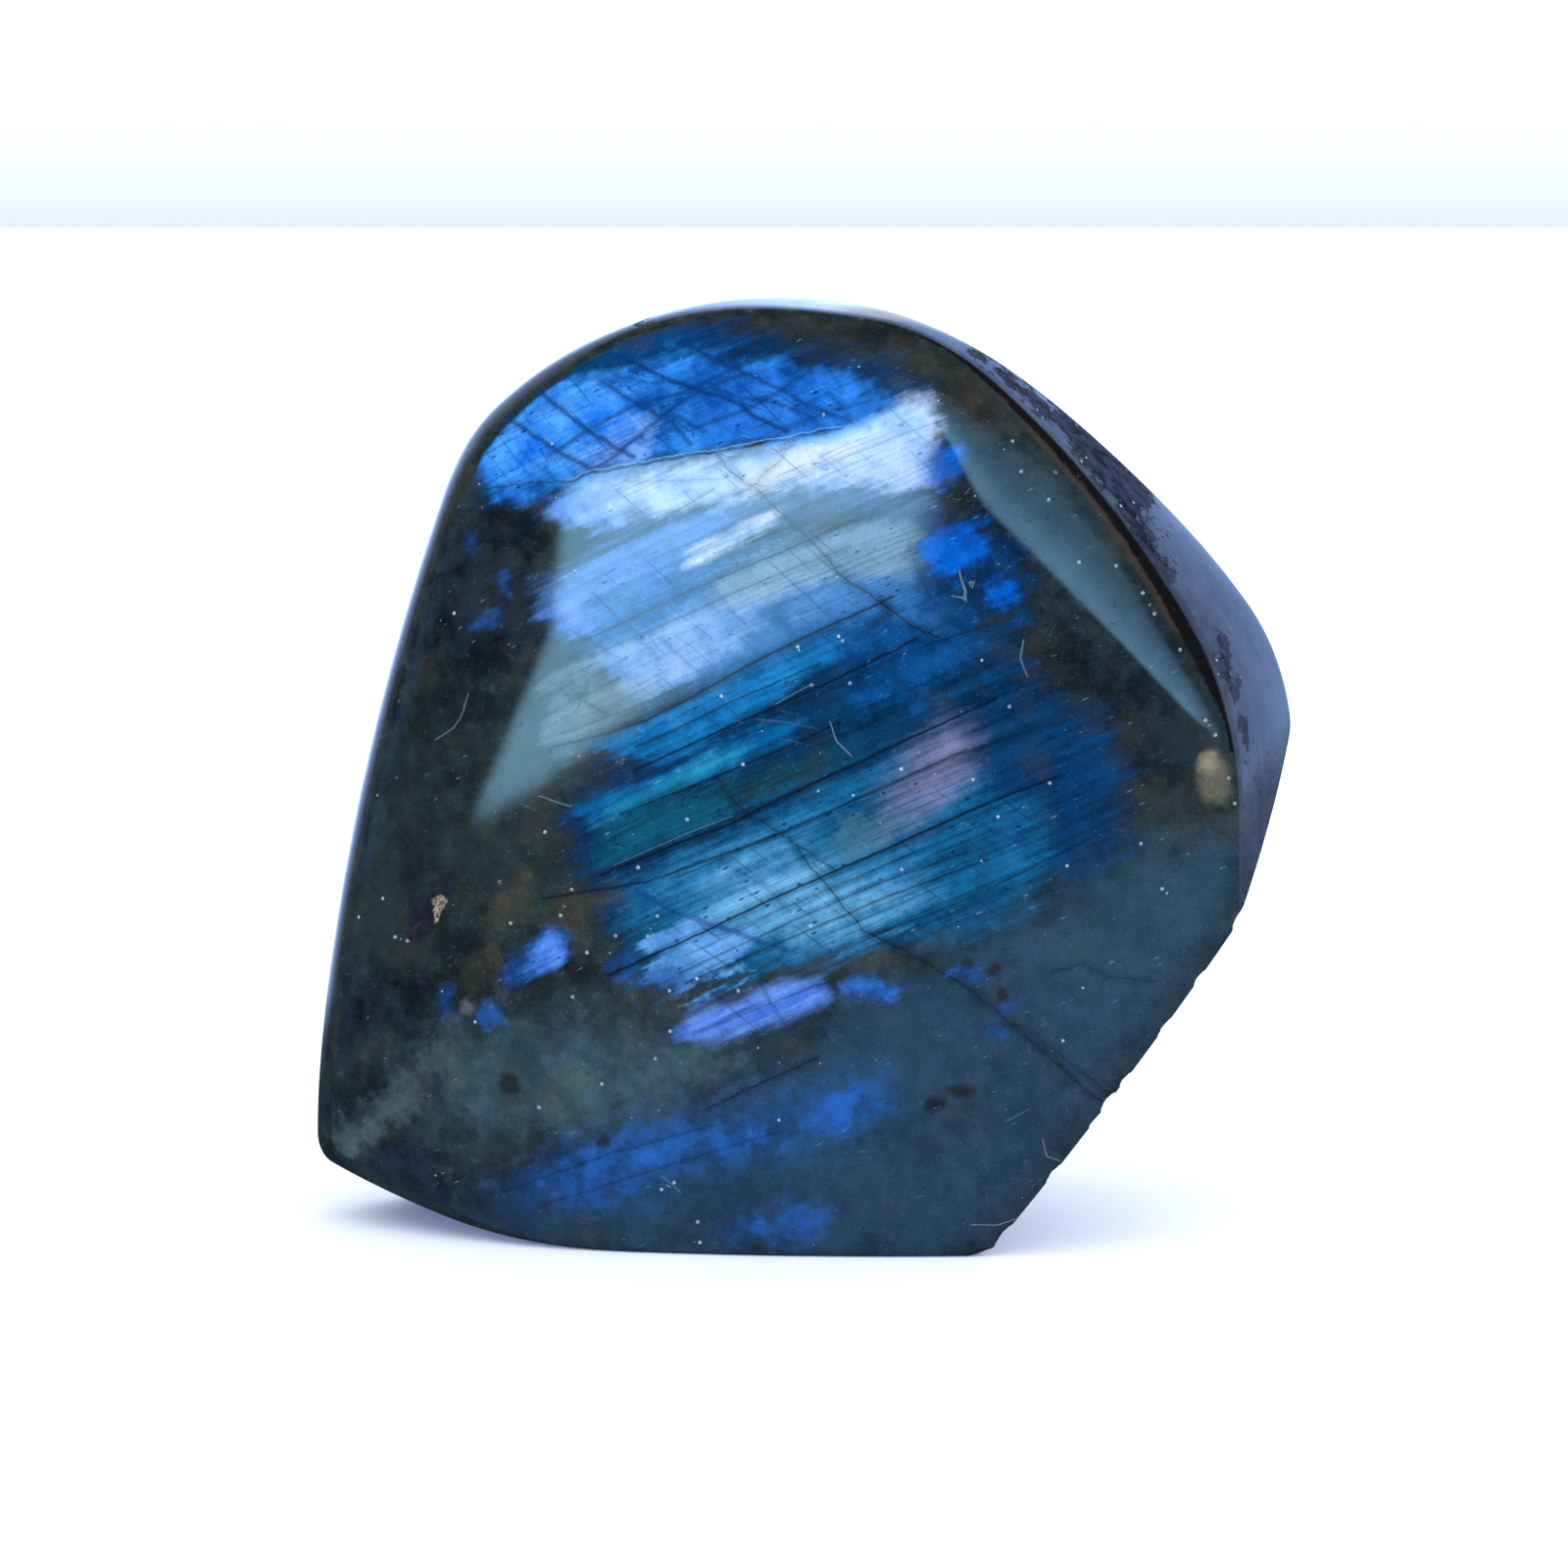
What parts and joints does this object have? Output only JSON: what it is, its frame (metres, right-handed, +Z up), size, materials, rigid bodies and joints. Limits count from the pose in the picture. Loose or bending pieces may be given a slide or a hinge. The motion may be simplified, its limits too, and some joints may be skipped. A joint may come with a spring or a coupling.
{
  "type": "polished labradorite freeform",
  "caption": "Freeform labradorite stone, ground to gently curved faces and polished, standing on a flat ground base.",
  "frame": {"origin": "under the middle of the stone's box, on the level of its flat base", "axes": "+X across the stone to the right of its front face, +Y from the front face to the back, +Z up"},
  "size_m": [0.0622, 0.0292, 0.0588],
  "materials": {
    "stone": "polished dark grey-green feldspar with a blue flash"
  },
  "bodies": {
    "root": {"labradorite_stone": "stone"}
  },
  "joints": []
}
